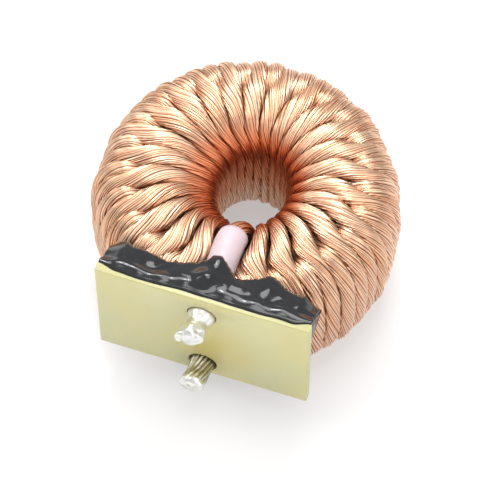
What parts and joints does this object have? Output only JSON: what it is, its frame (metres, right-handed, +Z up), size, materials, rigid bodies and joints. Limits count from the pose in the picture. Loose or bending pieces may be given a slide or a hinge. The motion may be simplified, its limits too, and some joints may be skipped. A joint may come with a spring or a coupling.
{
  "type": "toroidal inductor",
  "caption": "Power inductor: a ring core wound with twisted copper ropes, bonded by black epoxy to an upright glass-epoxy board with tinned lead ends and a white sleeve on one lead.",
  "frame": {"origin": "centre of the outline, on the surface that the wound ring lies on", "axes": "+Z up along the ring's axis, -Y out of the board's face along the leads, +X along the board's width"},
  "size_m": [0.0526, 0.0594, 0.0318],
  "materials": {
    "core_coating": "matt epoxy paint on pressed powder",
    "copper": "bright enamelled copper strands, twisted",
    "sleeve": "satin white insulating sleeve",
    "tin": "solder-dipped, bright and uneven",
    "glass_epoxy": "translucent woven glass laminate, satin",
    "black_epoxy": "glossy poured epoxy"
  },
  "bodies": {
    "root": {"toroid_core": "core_coating", "winding_rope_1": "copper", "winding_rope_2": "copper", "winding_rope_3": "copper", "upper_lead": "copper", "lead_sleeve": "sleeve", "upper_tinned_end": "tin", "lower_tinned_end": "tin", "base_board": "glass_epoxy", "epoxy_bond": "black_epoxy"}
  },
  "joints": []
}
